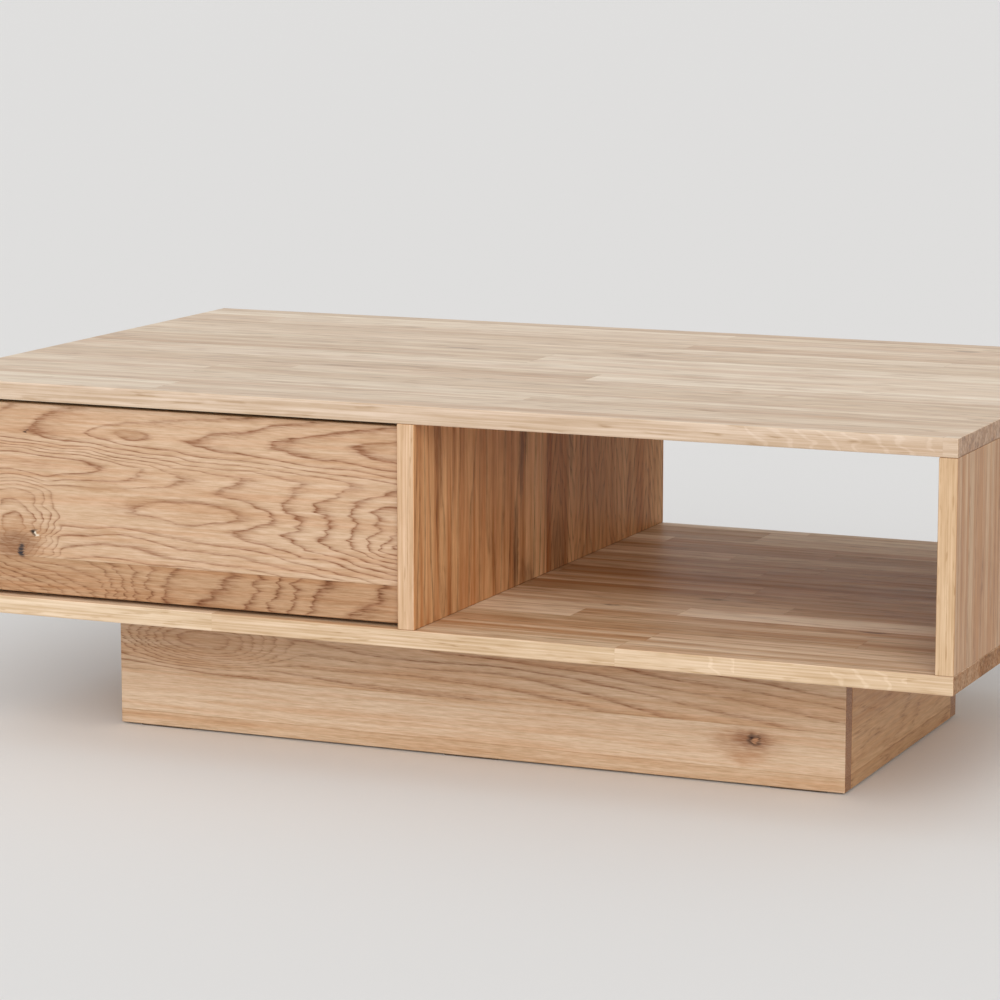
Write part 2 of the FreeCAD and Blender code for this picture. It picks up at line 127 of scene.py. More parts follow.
def staves(tree, board, seed, width, length, seams, varied):
    """Three random numbers for a point's stave, its distance to a glue line, and the stave's tone."""
    parts = add(tree, "SeparateXYZ", {}, {0: board})
    row, gap, tone = set_rows(tree, parts["Y"], seams)
    if width:
        row, gap = even_rows(tree, parts["Y"], seed, width)
    joint = 0.0
    if length:
        start = add(tree, "CombineXYZ", {}, {0: row, 1: seed})
        order = add(tree, "TexWhiteNoise", {"noise_dimensions": "2D"}, {"Vector": start[0]})
        pushed = add(tree, "Math", {"operation": "MULTIPLY_ADD"},
                     {0: order["Value"], 1: length, 2: parts["X"]})
        joint = add(tree, "Math", {"operation": "SNAP"}, {0: pushed[0], 1: length})[0]
        end = add(tree, "Math", {"operation": "PINGPONG"}, {0: pushed[0], 1: length / 2})
        gap = add(tree, "Math", {"operation": "MINIMUM"}, {0: end[0], 1: gap})[0]
    name = add(tree, "CombineXYZ", {}, {0: row, 1: joint, 2: seed})
    stave = add(tree, "TexWhiteNoise", {"noise_dimensions": "3D"}, {"Vector": name[0]})
    if width or length:
        chance = add(tree, "MapRange", {}, {
            0: stave["Value"], 1: 0, 2: 1, 3: DARKEST_STAVE * varied, 4: PALEST_STAVE * varied})
        tone = add(tree, "Math", {"operation": "ADD"}, {0: chance[0], 1: tone})[0]
    return stave["Color"], gap, tone


# %% [markdown]
# Growth rings are tubes about the heart of the log. A stave is a thin slice cut somewhere beside the heart,
# so its rings are found from the distance to that heart. Cut level with the heart, the slice shows
# straight lines; cut above it, the slice shows the wide arches that carpenters call cathedrals.
# A real trunk isn't straight, so slow noise bends the heart, and finer noise that is stretched along
# the grain ripples the rings. The finest one gives the torn, zigzag lines that oak shows across its grain.

# %% Growth rings
RIPPLES = ((2.4, (1 / 150, 1 / 24, 1 / 24)), (0.8, (1 / 40, 1 / 2.2, 1 / 2.2)))


def place_in_log(tree, board, stave, beside):
    """The point's place in its stave's own log, in millimetres from the heart."""
    shift = add(tree, "VectorMath", {"operation": "SUBTRACT"}, {0: stave, 1: (0.5, 0.5, -0.35)})
    reach = (4000, beside, 75)
    return add(tree, "VectorMath", {"operation": "MULTIPLY_ADD"}, {0: shift[0], 1: reach, 2: board})[0]


def rings(tree, log, spacing):
    """How many rings lie between the heart of the log and the point."""
    slow = add(tree, "Mapping", {}, {"Vector": log, "Scale": (1 / 420, 1 / 900, 1 / 900)})
    bend = add(tree, "TexNoise", {}, {"Vector": slow[0], "Scale": 1, "Detail": 1})
    heart = add(tree, "VectorMath", {"operation": "MULTIPLY_ADD"},
                {0: bend["Color"], 1: (0, 70, 90), 2: log})
    section = add(tree, "VectorMath", {"operation": "MULTIPLY"}, {0: heart[0], 1: (0, 1, 1)})
    away = add(tree, "VectorMath", {"operation": "LENGTH"}, {0: section[0]})
    count = add(tree, "Math", {"operation": "DIVIDE"}, {0: away["Value"], 1: spacing})[0]
    for amount, scale in RIPPLES:
        place = add(tree, "Mapping", {}, {"Vector": log, "Scale": scale})
        noise = add(tree, "TexNoise", {}, {"Vector": place[0], "Scale": 1, "Detail": 2})
        count = add(tree, "Math", {"operation": "MULTIPLY_ADD"}, {0: noise[0], 1: amount, 2: count})[0]
    return count


# %% [markdown]
# Oak rubbed with clear oil is pale tan with warmer streaks along the grain. Each stave is a little paler
# or warmer than the next, and that shows on its face more than on the narrow edge of the board.
# So the first thing to know of a point is whether it lies on a face, on an edge or on end grain,
# and the normal says that. The tones of a finish are kept together under their plain names.

# %% Oiled oak: faces and ground colour
OAK = {"light": "#dcc4a8", "warm": "#c2946a", "line": "#94623f", "edge": "#cdad88",
       "bold": 0.8, "patchy": 0.75, "varied": 1.0, "sheen": 0.3, "rings": 3.6, "streak": 7}
TONE_ON_EDGES = 0.12
TONE_TO_WARMTH = -1.2


def cut_faces(tree, order):
    """How far a point is on end grain and on a long edge, and how much of its stave's tone shows."""
    point = add(tree, "TexCoord")
    facing = add(tree, "SeparateXYZ", {}, {0: point["Normal"]})
    faces = []
    for axis in order[:2]:
        square = add(tree, "Math", {"operation": "ABSOLUTE"}, {0: facing[AXES[axis]]})
        faces.append(add(tree, "MapRange", {}, {0: square[0], 1: 0.6, 2: 0.95, 3: 0, 4: 1})[0])
    end, edge = faces
    flat = add(tree, "MapRange", {}, {0: edge, 1: 0, 2: 1, 3: 1, 4: TONE_ON_EDGES})
    return end, edge, flat[0]


def ground_colour(tree, log, stave, tone, flat, tones):
    """Pale wood with warmer streaks."""
    wide = tones["streak"]
    place = add(tree, "Mapping", {}, {"Vector": log, "Scale": (1 / (36 * wide), 1 / wide, 1 / wide)})
    streak = add(tree, "TexNoise", {}, {"Vector": place[0], "Scale": 1, "Detail": 3, "Roughness": 0.6})
    warmth = add(tree, "MapRange", {}, {0: streak[0], 1: 0.4, 2: 0.66, 3: 0, 4: tones["patchy"]})
    numbers = add(tree, "SeparateColor", {}, {0: stave})
    own = add(tree, "Math", {"operation": "MULTIPLY"}, {0: numbers[1], 1: 0.25})
    own = add(tree, "Math", {"operation": "MULTIPLY_ADD"}, {0: tone, 1: TONE_TO_WARMTH, 2: own[0]})
    warmer = add(tree, "Math", {"operation": "MULTIPLY_ADD"}, {0: own[0], 1: flat, 2: warmth[0]})
    return add(tree, "Mix", {"data_type": "RGBA"},
               {0: warmer[0], 6: linear(tones["light"]), 7: linear(tones["warm"])})[2]


# %% [markdown]
# At each ring lies a reddish brown line: sharp on its inner side, where the spring wood's open pores begin,
# and fading outwards. Fine hairs of grain break it up, and it is stronger in some patches than in others.
# Board edges were cut across other rings and look paler and calmer.
# End grain drinks more oil, so it looks darker.

# %% Oiled oak: ring lines
LINE = ((0, 0.95), (0.06, 0.78), (0.14, 0.46), (0.28, 0.2),
        (0.48, 0.05), (0.85, 0.05), (0.95, 0.4), (1, 0.95))
EDGE_SHARE = 0.82
END_SHARE = 0.7


def ring_lines(tree, log, count, hair, tones):
    """The line's darkness, the same as it is drawn on the board, and how far it is broken up."""
    share = add(tree, "Math", {"operation": "FRACT"}, {0: count})
    line = add(tree, "ValToRGB", {"stops": LINE}, {0: share[0]})[0]
    broken = add(tree, "MapRange", {}, {0: hair, 1: 0.36, 2: 0.64, 3: 1.15, 4: 0.7})[0]
    place = add(tree, "Mapping", {}, {"Vector": log, "Scale": (1 / 170, 1 / 28, 1 / 28)})
    patch = add(tree, "TexNoise", {}, {"Vector": place[0], "Scale": 1, "Detail": 2})
    bold = add(tree, "MapRange", {},
               {0: patch[0], 1: 0.35, 2: 0.6, 3: 0.5 * tones["bold"], 4: tones["bold"]})
    drawn = add(tree, "Math", {"operation": "MULTIPLY"}, {0: line, 1: bold[0]})
    drawn = add(tree, "Math", {"operation": "MULTIPLY"}, {0: drawn[0], 1: broken})
    return line, drawn[0], broken


def cut_colour(tree, ground, drawn, end, edge, tones):
    """The ground colour with its lines, paler on edges and darker on end grain."""
    grain = add(tree, "Mix", {"data_type": "RGBA"}, {0: drawn, 6: ground, 7: linear(tones["line"])})
    paler = add(tree, "Math", {"operation": "MULTIPLY"}, {0: edge, 1: EDGE_SHARE})
    colour = add(tree, "Mix", {"data_type": "RGBA"}, {0: paler[0], 6: grain[2], 7: linear(tones["edge"])})
    darker = add(tree, "Math", {"operation": "MULTIPLY"}, {0: end, 1: END_SHARE})
    return add(tree, "Mix", {"data_type": "RGBA"},
               {0: darker[0], 6: colour[2], 7: linear(tones["line"])})[2]


# %% [markdown]
# Between the lines run fine fibres, with short open pores in the lines themselves. The oil fills nothing,
# so pores and glue lines stay a little sunk. One brightness is added up from the fibres, the pores,
# the glue lines and the stave's own tone. The same number is the height for the bump,
# because what is dark here is also low.
# Real fibres and pores are 0.1 to 0.3 mm wide, too fine to show in the render,
# so they are drawn 1 to 3 mm wide. On boards seen at a flat angle, fibres, streaks and rings
# are drawn up to four times as wide again, for the same reason.

# %% Oiled oak: fibres and pores
END_DARKER = -0.16
PORE_DEPTH = -0.32
GLUE_DEPTH = -0.16


def grain_hairs(tree, log, tones):
    """Fine short hairs along the grain, from 0 to 1."""
    wide = tones["streak"]
    place = add(tree, "Mapping", {},
                {"Vector": log, "Scale": (1 / (2.4 * wide), 5.2 / wide, 5.2 / wide)})
    return add(tree, "TexNoise", {}, {"Vector": place[0], "Scale": 1, "Detail": 2, "Roughness": 0.6})[0]


def fibres(tree, log, hair, end, edge, tones):
    """The brightness that fibres give, and the fibres alone for the roughness."""
    wide = tones["streak"]
    place = add(tree, "Mapping", {}, {"Vector": log, "Scale": (1 / 70, 2.7 / wide, 2.7 / wide)})
    fibre = add(tree, "TexNoise", {}, {"Vector": place[0], "Scale": 1, "Detail": 3, "Roughness": 0.6})
    bright = add(tree, "MapRange", {}, {0: fibre[0], 1: 0.36, 2: 0.64, 3: 0.91, 4: 1.08})
    place = add(tree, "Mapping", {}, {"Vector": log, "Scale": (1 / 150, 1 / 1.5, 1 / 1.5)})
    thread = add(tree, "TexNoise", {}, {"Vector": place[0], "Scale": 1, "Detail": 1})
    lined = add(tree, "MapRange", {}, {0: thread[0], 1: 0.35, 2: 0.65, 3: -0.14, 4: 0.13})
    bright = add(tree, "Math", {"operation": "MULTIPLY_ADD"}, {0: lined[0], 1: edge, 2: bright[0]})
    fine = add(tree, "MapRange", {}, {0: hair, 1: 0.34, 2: 0.64, 3: -0.11, 4: 0.09})
    calm = add(tree, "MapRange", {}, {0: edge, 1: 0, 2: 1, 3: 1, 4: 0.35})
    speckled = add(tree, "Math", {"operation": "MULTIPLY_ADD"}, {0: end, 1: 1.8, 2: calm[0]})
    bright = add(tree, "Math", {"operation": "MULTIPLY_ADD"}, {0: fine[0], 1: speckled[0], 2: bright[0]})
    bright = add(tree, "Math", {"operation": "MULTIPLY_ADD"}, {0: end, 1: END_DARKER, 2: bright[0]})
    return bright[0], fibre[0]


def sunk(tree, log, bright, line, gap, tone, flat, tones):
    """The brightness with the stave's tone, the open pores and the glue lines."""
    wide = tones["streak"]
    toned = add(tree, "Math", {"operation": "MULTIPLY_ADD"}, {0: flat, 1: tone, 2: bright})
    place = add(tree, "Mapping", {},
                {"Vector": log, "Scale": (1 / (1.5 * wide), 4.7 / wide, 4.7 / wide)})
    dash = add(tree, "TexNoise", {}, {"Vector": place[0], "Scale": 1, "Detail": 1})
    pore = add(tree, "MapRange", {}, {0: dash[0], 1: 0.55, 2: 0.66, 3: 0, 4: 1})
    open_pore = add(tree, "Math", {"operation": "MULTIPLY"}, {0: pore[0], 1: line})
    pitted = add(tree, "Math", {"operation": "MULTIPLY_ADD"}, {0: open_pore[0], 1: PORE_DEPTH, 2: toned[0]})
    glue = add(tree, "MapRange", {}, {0: gap, 1: 0.2, 2: 0.8, 3: GLUE_DEPTH, 4: 0})
    return add(tree, "Math", {"operation": "MULTIPLY_ADD"}, {0: glue[0], 1: flat, 2: pitted[0]})[0]


# %% [markdown]
# Where a saw cut runs along the rays of the log, an edge also shows short, pale, slanting flecks.
# Knots and smoky patches are stains with a torn outline: their place is pushed about by noise,
# and each is an oval given by its centre and its half lengths in millimetres, its colour and its strength.

# %% Oiled oak: ray flecks, knots and stains
TORN = (((6, 6, 6), (9, 7, 7)), ((9, 0, 0), (26, 1.2, 9)))


def ray_flecks(tree, board, spans):
    """Pale slanting flecks along stretches of a board, from 0 to 1."""
    parts = add(tree, "SeparateXYZ", {}, {0: board})
    lean = add(tree, "VectorMath", {"operation": "DOT_PRODUCT"}, {0: board, 1: (1 / 24, 0, 1 / 30)})
    place = add(tree, "Mapping", {}, {"Vector": board, "Scale": (1 / 34, 1 / 34, 1 / 11)})
    noise = add(tree, "TexNoise", {}, {"Vector": place[0], "Scale": 1, "Detail": 1})
    uneven = add(tree, "Math", {"operation": "MULTIPLY_ADD"}, {0: noise[0], 1: 1.5, 2: lean["Value"]})
    near = add(tree, "Math", {"operation": "PINGPONG"}, {0: uneven[0], 1: 0.5})
    fleck = add(tree, "MapRange", {"interpolation_type": "SMOOTHSTEP"},
                {0: near[0], 1: 0.04, 2: 0.15, 3: 1, 4: 0})
    inside = 0.0
    for low, high in spans:
        within = add(tree, "Math", {"operation": "COMPARE"},
                     {0: parts["X"], 1: (low + high) / 2, 2: (high - low) / 2})
        inside = add(tree, "Math", {"operation": "MAXIMUM"}, {0: within[0], 1: inside})[0]
    return add(tree, "Math", {"operation": "MULTIPLY"}, {0: fleck[0], 1: inside})[0]


def ragged(tree, board, pushes):
    """A place pushed about by noise, so that what is drawn there has a torn outline."""
    for reach, scale in pushes:
        place = add(tree, "Mapping", {}, {"Vector": board, "Scale": [1 / size for size in scale]})
        noise = add(tree, "TexNoise", {}, {"Vector": place[0], "Scale": 1, "Detail": 1})
        centred = add(tree, "VectorMath", {"operation": "SUBTRACT"},
                      {0: noise["Color"], 1: (0.5, 0.5, 0.5)})
        board = add(tree, "VectorMath", {"operation": "MULTIPLY_ADD"},
                    {0: centred[0], 1: reach, 2: board})[0]
    return board


def stained(tree, shown, board, marks, broken):
    """The colour with its knots and patches."""
    torn = ragged(tree, board, TORN) if marks else board
    for along, across, half_along, half_across, stain, strength in marks:
        place = add(tree, "Mapping", {}, {
            "Vector": torn, "Scale": (1 / half_along, 1 / half_across, 0),
            "Location": (-along / half_along, -across / half_across, 0)})
        out = add(tree, "VectorMath", {"operation": "LENGTH"}, {0: place[0]})
        mark = add(tree, "MapRange", {"interpolation_type": "SMOOTHSTEP"},
                   {0: out["Value"], 1: 0.35, 2: 1, 3: strength, 4: 0})
        mark = add(tree, "Math", {"operation": "MULTIPLY"}, {0: mark[0], 1: broken})
        shown = add(tree, "Mix", {"data_type": "RGBA"}, {0: mark[0], 6: shown, 7: linear(stain)})[2]
    return shown


# %% [markdown]
# A whole board joins these steps. The brightness scales the colour, blue more than red,
# because darker wood is also warmer. The oil leaves a soft satin sheen, so the roughness is middling
# and varies with the fibres.

# %% Oiled oak: a whole board
FLECK_BRIGHTER = 0.13


def oak_board(name, order, seed, width=0, length=0, seams=(), figure=None,
              marks=(), flecks=(), tones=OAK, beside=240):
    """Oiled oak for one board, with its grain and staves laid as on the real one."""
    finish, tree, shader = new_finish(name)
    board = board_place(tree, order)
    stave, gap, tone = staves(tree, board, seed, width, length, seams, tones["varied"])
    log = place_in_log(tree, board, stave, beside)
    count = figure(tree, board) if figure else rings(tree, log, tones["rings"])
    end, edge, flat = cut_faces(tree, order)
    hair = grain_hairs(tree, log, tones)
    ground = ground_colour(tree, log, stave, tone, flat, tones)
    line, drawn, broken = ring_lines(tree, log, count, hair, tones)
    colour = cut_colour(tree, ground, drawn, end, edge, tones)
    bright, fibre = fibres(tree, log, hair, end, edge, tones)
    height = sunk(tree, log, bright, line, gap, tone, flat, tones)
    bright = height
    if flecks:
        pale = add(tree, "Math", {"operation": "MULTIPLY"}, {0: edge, 1: ray_flecks(tree, board, flecks)})
        bright = add(tree, "Math", {"operation": "MULTIPLY_ADD"},
                     {0: pale[0], 1: FLECK_BRIGHTER, 2: height})[0]
    red = add(tree, "Math", {"operation": "POWER"}, {0: bright, 1: 0.75})
    blue = add(tree, "Math", {"operation": "POWER"}, {0: bright, 1: 1.4})
    shade = add(tree, "CombineXYZ", {}, {0: red[0], 1: bright, 2: blue[0]})
    shown = add(tree, "VectorMath", {"operation": "MULTIPLY"}, {0: colour, 1: shade[0]})[0]
    tree.links.new(stained(tree, shown, board, marks, broken), shader.inputs["Base Color"])
    rough = add(tree, "MapRange", {}, {0: fibre, 1: 0.3, 2: 0.7, 3: 0.36, 4: 0.52})
    tree.links.new(rough[0], shader.inputs["Roughness"])
    shader.inputs["Specular IOR Level"].default_value = tones["sheen"]
    bump = add(tree, "Bump", {}, {"Strength": 0.4, "Distance": 0.0005, "Height": height})
    tree.links.new(bump[0], shader.inputs["Normal"])
    return finish


def paint(finish, *names):
    """Gives a finish to pieces of the table."""
    for name in names:
        table[name].data.materials.clear()
        table[name].data.materials.append(finish)
    print(finish.name, "on", ", ".join(names))


# %% [markdown]
# The top and the bottom have grain along X. The top is laid by chance, from long staves, apart from
# a few small knots, and its tones are paler and cooler than the other oak: partly the wood, and partly
# painted sheen, a painted reflection of the pale room on the top seen at a flat angle.
# The staves of the bottom board are short, and their rows are listed as far as the open bay shows them,
# light and dark; the front rows are also set lighter, as painted light where the light comes in.

# %% Top and bottom
top_marks = [
    (-133, 98, 26, 7, "#8f7259", 0.7),
    (379, 280, 20, 8, "#8f7259", 0.7),
    (-262, 252, 22, 8, "#a98c70", 0.6),
    (180, -20, 40, 9, "#b0916f", 0.5),
]
# The top's paler, cooler tones are partly the wood and partly painted sheen, a painted reflection on the
# top.
top_tones_with_painted_sheen = {**OAK, "light": "#e6d3b8", "warm": "#c29a74", "line": "#a0724d", "edge": "#c9af96",
             "bold": 0.35, "patchy": 0.65, "varied": 0.85, "sheen": 0.6, "rings": 12, "streak": 26}
paint(oak_board("oak_top", "XYZ", 5, width=46, length=1250, marks=top_marks,
                flecks=((345, 528),), tones=top_tones_with_painted_sheen), "top_board")

# The rows' tones are the staves' own, and the front rows are also set lighter as painted light from the
# front.
shelf_rows_and_painted_light = (
    (-FAR_OFF, 0.18), (-297, -0.12), (-253, -0.08), (-210, 0.14), (-167, 0.08), (-120, -0.2),
    (-80, -0.12), (-33, 0.2), (10, -0.28), (53, 0.2), (97, 0.08), (140, 0.06),
    (180, -0.16), (220, 0.2), (257, -0.12), (320, 0.16))
shelf_marks = [
    (422, -173, 22, 3, "#6b4630", 0.8),
    (222, -73, 22, 5, "#70503a", 0.6),
    (135, -140, 16, 4, "#6b4630", 0.7),
]
INSIDE = {**OAK, "light": "#e2c8a7", "warm": "#bb885b", "line": "#8f5f38", "edge": "#d3b99a",
          "bold": 0.35, "patchy": 0.8, "varied": 1.3, "sheen": 0.05, "rings": 12, "streak": 18}
paint(oak_board("oak_bottom", "XYZ", 8, length=430, seams=shelf_rows_and_painted_light, marks=shelf_marks,
                flecks=((312, 338), (432, 506)), tones=INSIDE), "bottom_board")

# %% [markdown]
# The sides are uprights, with grain along Z and wide staves of full length, and each has its own seed.
# The saw went through their staves near the heart of the log, so they show upright lines
# at uneven spacings. The panel behind the drawer is a plain board of small staves.

# %% Sides and back
UPRIGHT = (((16, 3, 0), (34, 5, 9)), ((0, 190, 0), (900, 75, 60)), ((0, 18, 0), (120, 22, 30)))


def upright_lines(tree, board):
    """A ring count that gives lines along the grain, on the average 24 mm apart."""
    place = ragged(tree, board, UPRIGHT)
    return add(tree, "VectorMath", {"operation": "DOT_PRODUCT"}, {0: place, 1: (0, 1 / 24, 1 / 6)})["Value"]


SIDE = {**OAK, "light": "#d3b797", "warm": "#b8885e", "edge": "#d0b08b", "bold": 0.5, "streak": 11}
for name, seed in (("left_side", 11), ("right_side", 14)):
    upright = oak_board("oak_" + name, "ZYX", seed, width=96, figure=upright_lines, tones=SIDE)
    paint(upright, name + "_panel")
paint(oak_board("oak_bay_back", "XZY", 20, width=70, length=400), "bay_back_panel")

# %% [markdown]
# The partition's staves are wide. The two in front have upright lines as the sides have, and the ones
# behind show tall, narrow arches. Arches are lines of equal height on a ridge: the height falls slowly
# with Z and quickly with the distance to the nearest ridge. Dusky streaks darken parts of it.

# %% Partition
ARCH_FOOT = -6
ARCH_RIDGES = (27, 112, 165, 285)


def partition_figure(tree, board):
    """The partition's ring count."""
    place = ragged(tree, board, (((26, 3, 0), (34, 5, 9)), ((60, 9, 0), (90, 40, 30))))
    parts = add(tree, "SeparateXYZ", {}, {0: place})
    near = FAR_OFF
    for ridge in ARCH_RIDGES:
        beside = add(tree, "Math", {"operation": "SUBTRACT"}, {0: parts["Y"], 1: ridge})
        away = add(tree, "Math", {"operation": "ABSOLUTE"}, {0: beside[0]})
        near = add(tree, "Math", {"operation": "MINIMUM"}, {0: away[0], 1: near})[0]
    climb = add(tree, "VectorMath", {"operation": "DOT_PRODUCT"}, {0: place, 1: (-1 / 38, 0, 1 / 6)})
    arches = add(tree, "Math", {"operation": "MULTIPLY_ADD"}, {0: near, 1: -1 / 12, 2: climb["Value"]})
    behind = add(tree, "Math", {"operation": "GREATER_THAN"}, {0: parts["Y"], 1: ARCH_FOOT})
    front = upright_lines(tree, board)
    return add(tree, "Mix", {"data_type": "FLOAT"}, {0: behind[0], 2: front, 3: arches[0]})[0]


partition_staves = (
    (-FAR_OFF, 0.0), (-62, 0.09), (ARCH_FOOT, -0.26), (55, 0.17), (87, -0.12), (193, 0.08), (236, -0.08))
DUSKY = "#5e3a22"
partition_marks = [
    (200, -88, 70, 10, DUSKY, 0.6),
    (290, -74, 70, 7, DUSKY, 0.5),
    (330, -63, 60, 3, DUSKY, 0.5),
    (180, 27, 50, 30, DUSKY, 0.35),
    (300, 62, 70, 8, DUSKY, 0.4),
    (320, 190, 60, 5, DUSKY, 0.5),
]
# The partition's paler, warmer, more saturated tones are partly the wood and partly painted light: the
# light and warm bounce in the open bay.
partition_tones_with_painted_bounce = {**INSIDE, "light": "#efbf8b", "warm": "#bd7843", "line": "#6b3c1b", "edge": "#cdae8f",
                   "bold": 0.55, "patchy": 0.65, "rings": 9, "streak": 10}
paint(oak_board("oak_partition", "ZYX", 17, seams=partition_staves, figure=partition_figure,
                marks=partition_marks, tones=partition_tones_with_painted_bounce), "centre_partition")

# %% [markdown]
# The drawer front is the table's showpiece: two staves with bold arches, a knot and a bullseye.
# Chance won't give that figure, so its rings are drawn as a landscape: its contours are the dark lines.
# A long ridge rising to the right makes the arches along the top, a hill at the right edge the bullseye,
# and a second hill the rings round the knot.
# Places are in millimetres to the right of X = -480 mm and down from the top of the front.

# %% Drawer front: hills
def swell(tree, place, centre, half, amount, ground):
    """Adds a soft round hill, or a hollow, to the ground."""
    scale = [1 / side for side in half]
    spot = add(tree, "Mapping", {}, {
        "Vector": place, "Scale": (*scale, 0),
        "Location": (-centre[0] * scale[0], -centre[1] * scale[1], 0)})
    out = add(tree, "VectorMath", {"operation": "LENGTH"}, {0: spot[0]})
    hill = add(tree, "MapRange", {"interpolation_type": "SMOOTHERSTEP"},
               {0: out["Value"], 1: 0, 2: 1, 3: amount, 4: 0})
    return add(tree, "Math", {"operation": "ADD"}, {0: hill[0], 1: ground})[0]


def arch_ridge(tree, place):
    """The ridge along the top, with two swells on it."""
    slope = add(tree, "VectorMath", {"operation": "DOT_PRODUCT"}, {0: place, 1: (1 / 88, -0.05, 0)})
    crest = add(tree, "VectorMath", {"operation": "MULTIPLY_ADD"},
                {0: place, 1: (0, 1, 0), 2: (0, -32, 10)})
    fall = add(tree, "VectorMath", {"operation": "LENGTH"}, {0: crest[0]})
    ridge = add(tree, "Math", {"operation": "MULTIPLY_ADD"},
                {0: fall["Value"], 1: -0.13, 2: slope["Value"]})
    ridge = add(tree, "Math", {"operation": "ADD"}, {0: ridge[0], 1: 3.03})[0]
    ridge = swell(tree, place, (95, -14), (200, 52), 1.3, ridge)
    return swell(tree, place, (165, 26), (62, 14), 1.0, ridge)


def bullseye_hill(tree, parts):
    """The hill at the right edge, with rings that sway."""
    turn = add(tree, "Math", {"operation": "MULTIPLY_ADD"}, {0: parts["Y"], 1: 1 / 6, 2: -15.5})
    sway = add(tree, "Math", {"operation": "SINE"}, {0: turn[0]})
    aside = add(tree, "Math", {"operation": "MULTIPLY_ADD"}, {0: sway[0], 1: -9, 2: parts["X"]})
    swayed = add(tree, "CombineXYZ", {}, {0: aside[0], 1: parts["Y"]})
    eye = add(tree, "VectorMath", {"operation": "MULTIPLY_ADD"},
              {0: swayed[0], 1: (1, 1.3, 0), 2: (-480, -148, 0)})
    far = add(tree, "VectorMath", {"operation": "LENGTH"}, {0: eye[0]})
    fade = add(tree, "Math", {"operation": "DIVIDE"}, {0: far["Value"], 1: -100})
    peak = add(tree, "Math", {"operation": "EXPONENT"}, {0: fade[0]})
    return add(tree, "Math", {"operation": "MULTIPLY_ADD"}, {0: peak[0], 1: 7.7, 2: -1.95})[0]


def knot_hill(tree, bent):
    """The cone round the knot, with a ring every 8.5 mm."""
    around = add(tree, "VectorMath", {"operation": "MULTIPLY_ADD"},
                 {0: bent, 1: (1, 0.74, 0), 2: (-36, -103.7, 0)})
    out = add(tree, "VectorMath", {"operation": "LENGTH"}, {0: around[0]})
    return add(tree, "Math", {"operation": "MULTIPLY_ADD"}, {0: out["Value"], 1: -1 / 8.5, 2: 5.67})[0]


# %% [markdown]
# A smooth maximum joins the hills to a low plain, and hollows cut into it after that give
# the long even lines between them. The lower stave has slanting lines of its own, at uneven spacings.

# %% Drawer front: the whole figure
DRAWER_SEAM = 201


def lower_lines(tree, parts):
    """The lower stave's ring count, with a line every 34 mm or so."""
    lean = add(tree, "Math", {"operation": "MULTIPLY_ADD"}, {0: parts["X"], 1: -1 / 27, 2: 7})
    lean = add(tree, "Math", {"operation": "SMOOTH_MAX"}, {0: lean[0], 1: -0.6, 2: 2.0})
    below = add(tree, "Math", {"operation": "SUBTRACT"}, {0: parts["Y"], 1: 157})
    slant = add(tree, "Math", {"operation": "MULTIPLY"}, {0: lean[0], 1: below[0]})
    lower = add(tree, "Math", {"operation": "SUBTRACT"}, {0: parts["X"], 1: slant[0]})
    lower = add(tree, "Math", {"operation": "DIVIDE"}, {0: lower[0], 1: 34})
    beat = add(tree, "Math", {"operation": "DIVIDE"}, {0: parts["X"], 1: 27})
    beat = add(tree, "Math", {"operation": "SINE"}, {0: beat[0]})
    return add(tree, "Math", {"operation": "MULTIPLY_ADD"}, {0: beat[0], 1: 0.5, 2: lower[0]})[0]


def drawer_figure(tree, board):
    """The drawer front's ring count."""
    place = add(tree, "Mapping", {}, {"Vector": board, "Location": (480, 358, 331), "Scale": (1, -1, 1)})[0]
    bent = ragged(tree, place, (((26, 0, 0), (40, 12, 12)), ((0, 12, 0), (70, 30, 30))))
    place = ragged(tree, bent, (((9, 0, 0), (26, 2.4, 9)), ((18, 0, 0), (24, 5, 9))))
    parts = add(tree, "SeparateXYZ", {}, {0: place})
    ground = arch_ridge(tree, place)
    plain = swell(tree, place, (190, 93), (150, 24), 0.55, -1.25)
    for hill in (bullseye_hill(tree, parts), knot_hill(tree, bent), plain):
        ground = add(tree, "Math", {"operation": "SMOOTH_MAX"}, {0: ground, 1: hill, 2: 1.0})[0]
    ground = swell(tree, place, (20, 63), (330, 34), -3.6, ground)
    ground = swell(tree, place, (235, 99), (180, 25), -1.5, ground)
    foot = add(tree, "Math", {"operation": "SUBTRACT"}, {0: parts["Y"], 1: 106})
    foot = add(tree, "Math", {"operation": "MAXIMUM"}, {0: foot[0], 1: 0})
    dip = add(tree, "Math", {"operation": "POWER"}, {0: foot[0], 1: 2})
    ground = add(tree, "Math", {"operation": "MULTIPLY_ADD"}, {0: dip[0], 1: -0.0016, 2: ground})[0]
    upper = swell(tree, place, (150, 136), (120, 22), -1.0, ground)
    height = add(tree, "SeparateXYZ", {}, {0: board})
    lowest = add(tree, "Math", {"operation": "LESS_THAN"}, {0: height["Y"], 1: DRAWER_SEAM})
    chosen = add(tree, "Mix", {"data_type": "FLOAT"}, {0: lowest[0], 2: upper, 3: lower_lines(tree, parts)})
    return add(tree, "Math", {"operation": "MULTIPLY_ADD"}, {0: parts["Z"], 1: 1 / 4, 2: chosen[0]})[0]


# %% [markdown]
# Seven smoky patches lie among the lines. The knot is brown with a dark slit,
# beside it is a small hole with a pale rim, and there is one more pinhole near the top.

